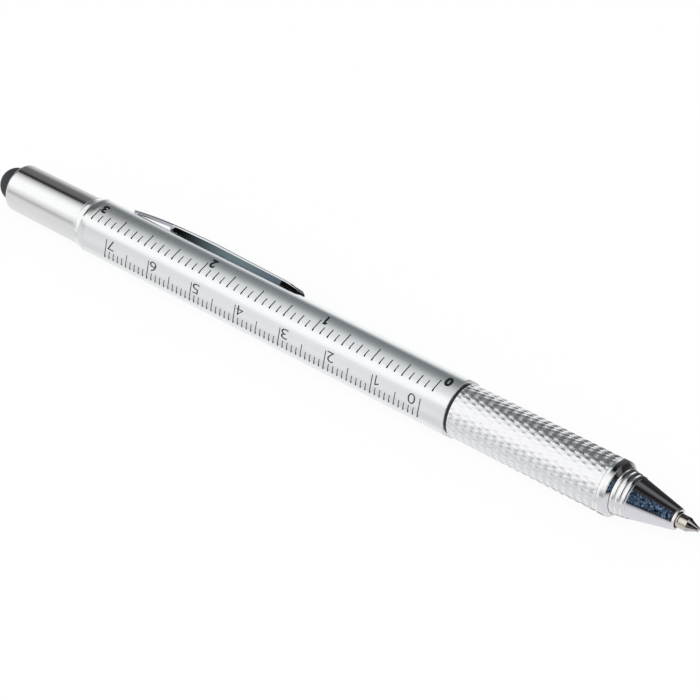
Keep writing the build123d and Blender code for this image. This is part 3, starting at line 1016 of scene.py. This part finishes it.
def clip_profile(root, tip):
    """The clip's outer face in side view as (x, height above the flat, width)."""
    length = tip - root
    at = lambda share, height: (root + share * length, height)
    band = arc_through(at(0, 0.5), at(0.1, 0.95), at(0.2, 1.24), 6)
    band += arc_through(at(0.2, 1.24), at(0.36, 1.5), at(0.5, 1.58), 8)[1:]
    band += arc_through(at(0.5, 1.58), at(0.7, 1.42), at(0.9, 1.27), 8)[1:]
    curl_x, curl_height = band[-1]
    reach = tip + TIP_REACH - curl_x
    drop = curl_height - TIP_HEIGHT
    for step in range(1, 13):
        turn = math.pi / 2 * step / 12
        band.append((curl_x + reach * math.sin(turn), TIP_HEIGHT + drop * math.cos(turn)))
    profile = []
    for x, height in band:
        near_tip = max(0, (x - tip) / TAPER + 1)
        near_root = max(0, 1 - (x - root) / TAPER)
        width = CLIP_WIDTH - 0.6 * near_tip ** 2 - 0.5 * near_root ** 2
        profile.append((x, height, width))
    return profile


def clip_sheet(profile, flank_start):
    """The clip's outer skin: the long strip, then its folded sides let down from it.

    The sides hang a little way down behind flank_start and reach the flat beyond it.
    """
    half = BARREL_FLATS / 2
    x, height, width = profile[0]
    next_x, next_height, next_width = profile[1]
    start_clear()
    bpy.ops.mesh.primitive_plane_add(size=1, location=(0, 0, 0))
    piece = bpy.context.object
    piece.scale = ((next_x - x) * MM, (width - 2 * FOLD) * MM, 1)
    piece.location = ((x + next_x) / 2 * MM, 0, AXIS.z + (half + height) * MM)
    piece = named("clip_spring")
    edit(piece)
    middle = (x + next_x) / 2
    select_edges(piece, lambda a, b: min(a.x, b.x) > middle)
    bpy.ops.transform.translate(value=(0, 0, (next_height - height) * MM))
    x, height, width = next_x, next_height, next_width
    for next_x, next_height, next_width in profile[2:]:
        extrude((next_x - x) * MM, 0, (next_height - height) * MM)
        scale_about((next_x * MM, 0, 0), 1, next_width / width, 1)
        x, height, width = next_x, next_height, next_width
    for x in (flank_start - REAR_SLOPE, flank_start):
        slice_at((x * MM, 0, 0))
    select_edges(piece, lambda a, b: a.y * b.y > 0 and abs(a.x - b.x) > 1e-3)
    foot = (0, 0, AXIS.z + (half + SIDE_GAP) * MM)
    wide, low = CLIP_WIDTH / 2 - FOLD, 1.0
    for step in range(1, 7):
        turn = math.pi / 2 * step / 6
        next_wide = CLIP_WIDTH / 2 - FOLD + FOLD * math.sin(turn)
        next_low = 1 - FOLD_SHARE * (1 - math.cos(turn))
        extrude(0, 0, 0)
        scale_about(foot, 1, next_wide / wide, next_low / low)
        wide, low = next_wide, next_low
    extrude(0, 0, -REAR_DROP * MM)
    keep_edges(piece, flank_start - 0.001)
    scale_about(foot, 1, 1, 0)
    object_mode()
    return piece


def make_clip(painted_side_finish, bright_finish, flank_start):
    """The clip, its tab and its foot: one finish, with painted reflection and shade, on its
    sides and end, one on the rest.
    """
    root, tip = node_span("clip")
    piece = clip_sheet(clip_profile(root, tip), flank_start)
    with_modifier(
        piece, "SOLIDIFY", thickness=SHEET * MM, offset=-1, use_even_offset=True,
        use_quality_normals=True,
    )
    close_up(piece)
    half = BARREL_FLATS / 2
    start, low = root + 0.02, half - 2.0
    tab = block("clip_tab", start, root + 0.58, 0.9, low, half + 0.3)
    foot = block("clip_foot", start, root + 2.0, 1.6, low, half - 1.45)
    piece = joined("clip_spring", [piece, tab, foot])
    with_modifier(
        piece, "BEVEL", width=0.04 * MM, segments=2, limit_method="ANGLE",
        angle_limit=math.radians(50),
    )
    smooth(piece, 35, weighted=False)
    paint(piece, painted_side_finish, bright_finish)
    for polygon in piece.data.polygons:
        place = (polygon.center - AXIS) / MM
        sideways, steep = (0.05, 1) if place.x < flank_start else (0.3, 0.07)
        if place.x > tip - 0.8:
            steep = 0.5
        on_side = abs(polygon.normal.z) < steep and abs(polygon.normal.y) > sideways
        at_end = place.x > tip - 0.5 and polygon.normal.x > 0.75
        polygon.material_index = 0 if at_end or on_side and abs(place.y) > 1.0 else 1
    turn_to(piece, CLIP_ANGLE)
    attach(piece, "clip")
    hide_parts("clip")


# Camera, light and floor

SENSOR_WIDTH = 36
FOCAL_PIXELS = 2661.2
PICTURE_PIXELS = 700


def make_camera():
    """The camera that both printed scales and the outline of the pen agree on."""
    right = Vector((0.7765, 0.610, -0.158)).normalized()
    down = Vector((0.3925, -0.664, -0.636))
    down = (down - down.dot(right) * right).normalized()
    back = right.cross(-down)
    place = Matrix((right, -down, back)).transposed().to_4x4()
    place.translation = Vector((0.2381, -0.1931, 0.3436))
    bpy.ops.object.camera_add()
    camera = bpy.context.object
    camera.name = "camera"
    camera.matrix_world = place
    camera.data.sensor_width = SENSOR_WIDTH
    camera.data.lens = SENSOR_WIDTH * FOCAL_PIXELS / PICTURE_PIXELS
    camera.data.clip_start = 10 * MM
    bpy.context.scene.camera = camera


def grey(shade):
    """The linear value of a shade from 0 to 255, as all three parts of a colour."""
    share = shade / 255
    linear = share / 12.92 if share < 0.04045 else ((share + 0.055) / 1.055) ** 2.4
    return (linear, linear, linear)


def cool_grey(shade):
    """A grey that turns bluish as it darkens."""
    linear = grey(shade)[0]
    warmth = 1 - (255 - shade) / 1100
    return (linear * warmth, linear, linear * (1.5 - warmth / 2))


def violet_grey(shade):
    """A grey with a touch of violet."""
    linear = grey(shade)[0]
    return (linear * 0.98, linear * 0.97, linear * 1.04)


REAR_SHADES = (
    (-180, 228), (-130, 220), (-100, 178), (-80, 108), (-52, 98), (-40, 38), (-34, 60),
    (-24, 178), (-8, 232), (8, 255), (40, 255), (60, 222), (74, 178), (90, 214), (180, 228),
)
BARREL_SHADES = (
    (-180, 245), (-150, 252), (-100, 252), (-90, 246), (-80, 214), (-70, 156), (-57, 118),
    (-44, 122), (-38, 145), (-33.5, 186), (-29, 226), (-20, 238), (-4, 242), (18, 253),
    (30, 255), (52, 255), (63, 247), (76, 236), (84, 231), (95, 240), (99, 213), (114, 212),
    (129, 226), (144, 238), (180, 240),
)
SIDE_SHADES = (
    (-180, 130), (-150, 100), (-120, 84), (-92, 76), (-62, 58), (-46, 38), (-36, 12),
    (-25, 24), (-14, 170), (2, 245), (30, 255), (56, 235), (70, 190), (81, 150), (92, 208),
    (180, 226),
)
FAR_SHADES = (
    (-180, 225), (-140, 200), (-115, 105), (-98, 76), (-66, 82), (-50, 124), (-36, 190),
    (-15, 236), (20, 255), (60, 250), (78, 208), (100, 216), (180, 225),
)
NOSE_SHADES = (
    (-180, 205), (-154, 180), (-118, 90), (-90, 60), (-69, 46), (-46, 34), (-35, 104),
    (-25, 98), (-12, 18), (11, 60), (27, 84), (44, 40), (61, 30), (69, 180), (79, 214),
    (154, 220), (180, 205),
)
POINT_SHADES = (
    (-180, 200), (-110, 150), (-80, 40), (-55, 20), (-34, 70), (-22, 200), (-6, 225),
    (5, 70), (20, 24), (44, 20), (54, 150), (62, 60), (74, 24), (92, 205), (180, 205),
)


def make_studio():
    """A white tent. In polished metal it shows strip lights that run along the pen.

    Which strips it shows depends on how much the mirrored ray leans along the pen.
    """
    world = bpy.data.worlds.new("white tent")
    bpy.context.scene.world = world
    studio = Finish(world)
    direction = studio.node("ShaderNodeTexCoord", output="Generated")
    split = lambda part: studio.node(
        "ShaderNodeSeparateXYZ", sockets={0: direction}, output=part
    )
    turn = studio.maths("ARCTAN2", split("Y") * -1, split("Z"))
    beside = studio.between(split("X"), -0.588, -0.578)
    middle = studio.between(split("X"), -0.42, -0.404)
    ahead = studio.between(split("X"), -0.3, -0.19)
    rear = studio.bands(turn, REAR_SHADES, grey)
    mirrored = studio.mixed(beside, rear, studio.bands(turn, BARREL_SHADES, cool_grey))
    mirrored = studio.mixed(middle, mirrored, studio.bands(turn, SIDE_SHADES, grey))
    mirrored = studio.mixed(ahead, mirrored, studio.bands(turn, FAR_SHADES, grey))
    path = lambda output: studio.node("ShaderNodeLightPath", output=output)
    glossy = path("Is Glossy Ray")
    seen = studio.maths("MAXIMUM", path("Is Camera Ray"), path("Is Transmission Ray"))
    plain = studio.mixed(seen, (0.80, 0.81, 0.83), (1, 1, 1))
    colour = studio.mixed(glossy, plain, mirrored)
    light = studio.node("ShaderNodeBackground", sockets={"Color": colour})
    studio.node("ShaderNodeOutputWorld", sockets={"Surface": light})
    world.cycles.sampling_method = "NONE"

    lamp_place = Vector((0.05, -0.35, 0.75))
    bpy.ops.object.light_add(type="AREA", location=lamp_place)
    lamp = bpy.context.object
    lamp.name = "soft box"
    lamp.data.shape = "RECTANGLE"
    lamp.data.size = 0.9
    lamp.data.size_y = 0.6
    lamp.data.energy = 2.6
    lamp.rotation_euler = (-lamp_place).to_track_quat("-Z", "Y").to_euler()
    lamp.visible_glossy = False


def hang_cloth(name, start, end, radii, shades, speckled):
    """A dark cloth round the pen, speckled over a span of x, that only metal mirrors.

    The speckles lie between straight up and about 60 degrees towards -Y.
    """
    start_clear()
    bpy.ops.mesh.primitive_cone_add(
        vertices=96, radius1=radii[0] * MM, radius2=radii[1] * MM,
        depth=(end - start) * MM, end_fill_type="NOTHING",
        location=((start + end) / 2 * MM, 0, AXIS.z), rotation=(0, math.pi / 2, 0),
    )
    cloth = named(name)
    finish = new_finish(name.replace("_", " "))
    turn = finish.maths("ARCTAN2", finish.along("Y") * -1, finish.along("Z"))
    bands = finish.bands(turn, shades, violet_grey)
    speckle = finish.between(finish.noise((6.0, 0.9, 0.9), 2.0), 0.45, 0.7)
    weave = finish.mixed(speckle, (0.003, 0.006, 0.016), (0.18, 0.3, 0.47))
    first, last = speckled
    x = finish.along("X")
    round_pen = finish.between(turn, -0.05, 0.35) - finish.between(turn, 0.9, 1.1)
    lengthwise = finish.between(x, first, first + 0.4) - finish.between(x, last - 0.3, last)
    colour = finish.mixed(round_pen * lengthwise * 0.9, bands, weave)
    glow = finish.node("ShaderNodeEmission", sockets={"Color": colour})
    finish.node("ShaderNodeOutputMaterial", sockets={"Surface": glow})
    paint(cloth, finish.owner)
    for ray in ("camera", "diffuse", "transmission", "shadow"):
        setattr(cloth, "visible_" + ray, False)


def hang_cloths():
    """One cloth round the nose's cone and a small one round the refill's point."""
    nose_end = node_span("nose_cone")[1]
    cone_start = nose_end - CONE_LENGTH
    hang_cloth(
        "nose_cloth", cone_start - 1.6, nose_end - 0.2, radii=(7.6, 2.7),
        shades=NOSE_SHADES, speckled=(cone_start - 0.8, nose_end - 0.5),
    )
    point_start = node_span("refill_tip")[1] - TIP_CONE
    hang_cloth(
        "point_cloth", point_start - 0.1, point_start + 2.8, radii=(2.2, 2.2),
        shades=POINT_SHADES, speckled=(0, 0.3),
    )


def make_floor():
    """White paper that also takes the pen's soft shadow."""
    start_clear()
    bpy.ops.mesh.primitive_plane_add(size=6, location=(0, 0, 0))
    floor = named("floor")
    finish = new_finish("white paper floor")
    paper = finish.noise((0.02, 0.02, 0.02), 2.0)
    colour = finish.mixed(paper, (0.93, 0.93, 0.93), (0.95, 0.95, 0.95))
    matt = finish.node("ShaderNodeBsdfDiffuse", sockets={"Color": colour})
    white = finish.node("ShaderNodeEmission", sockets={"Color": (1, 1, 1, 1)})
    seen = finish.node("ShaderNodeLightPath", output="Is Camera Ray")
    both = finish.node("ShaderNodeMixShader", sockets={0: seen * 0.9, 1: matt, 2: white})
    finish.node("ShaderNodeOutputMaterial", sockets={"Surface": both})
    paint(floor, finish.owner)
    floor.visible_glossy = False


bpy.context.scene.view_settings.view_transform = "Standard"
make_camera()
make_studio()
hang_cloths()
make_floor()

chrome = polished_chrome()
satin = satin_aluminium()
knurled = knurl_aluminium()
black_plastic = moulded_plastic("black plastic", (0.012, 0.012, 0.013))
black_rubber = soft_rubber("black rubber", (0.034, 0.036, 0.041))
brass = turned_metal("turned brass", (0.78, 0.58, 0.27))
tool_steel = ground_steel("ground tool steel", (0.46, 0.47, 0.49))
magnet_plate = turned_metal("magnet plating", (0.72, 0.72, 0.74), 0.12, rings=2.0)
pale_plastic = moulded_plastic("pale moulded plastic", (0.72, 0.73, 0.75), 0.3)
refill_steel = ground_steel("drawn refill metal", (0.66, 0.66, 0.68), 0.2)
nickel = turned_metal("nickel plated tip", (0.84, 0.79, 0.72), 0.05, rings=6.0)
ball_steel = turned_metal("polished ball", (0.6, 0.6, 0.62), 0.06, rings=3.0)
wet_ink = moulded_plastic("wet ink", (0.01, 0.012, 0.05), 0.1)
grease = moulded_plastic("ink follower", (0.6, 0.62, 0.38), 0.15)
vial = clear_glass("vial", (0.93, 0.97, 0.95))
window = clear_glass("window pane", (0.95, 0.98, 0.97))
# The liquid's and the bubble's glow is painted light standing in for light inside the level.
level_liquid = clear_glass(
    "level liquid", (0.45, 0.92, 0.14), 0.02, transmission=0.9, ior=1.36, glow=0.14
)
level_bubble = clear_glass("level bubble", (0.93, 1.0, 0.7), 0.02, ior=1.02, glow=0.35)
scale_black = printed_ink("scale black", (0.006, 0.006, 0.007))
scale_grey = printed_ink("scale grey", (0.035, 0.036, 0.04))

make_barrel(satin, chrome)
make_inch_scale(scale_black)
make_cm_scale(scale_grey)
make_cap(chrome)
make_dome(black_rubber)
make_trim_ring(chrome)
make_washer(black_plastic)
make_grip(knurled)
make_collar(chrome)
make_nose(nose_chrome(node_span("nose_cone")[1] - CONE_LENGTH))
make_tip(nickel)
clip_root, _ = node_span("clip")
flank_start = clip_root + REAR_LENGTH
# The clip's side finish carries painted reflection and shade.
painted_side_chrome = clip_chrome(flank_start, clip_root + CLIP_LENGTH)
make_clip(painted_side_chrome, clip_bright(), flank_start)

inner_nodes = (
    (satin, "bit_holder"),
    (magnet_plate, "socket_magnet"),
    (tool_steel, "screwdriver_bit", "retaining_ring", "cam_pin"),
    (brass, "cap_insert", "guide_sleeve", "drive_bush", "thread_bush"),
    (black_plastic, "stylus_post", "level_cradle", "level_plug"),
    (vial, "level_vial"),
    (level_bubble, "level_bubble"),
    (level_liquid, "level_liquid"),
    (window, "level_window"),
    (pale_plastic, "cam_tube", "refill_carrier"),
    (black_rubber, "drag_ring"),
    (refill_steel, "refill_tube"),
    (ball_steel, "writing_ball"),
    (wet_ink, "ink_column"),
    (grease, "ink_follower"),
)
for finish, *nodes in inner_nodes:
    for node in nodes:
        for material_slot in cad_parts[node].material_slots:
            material_slot.material = finish
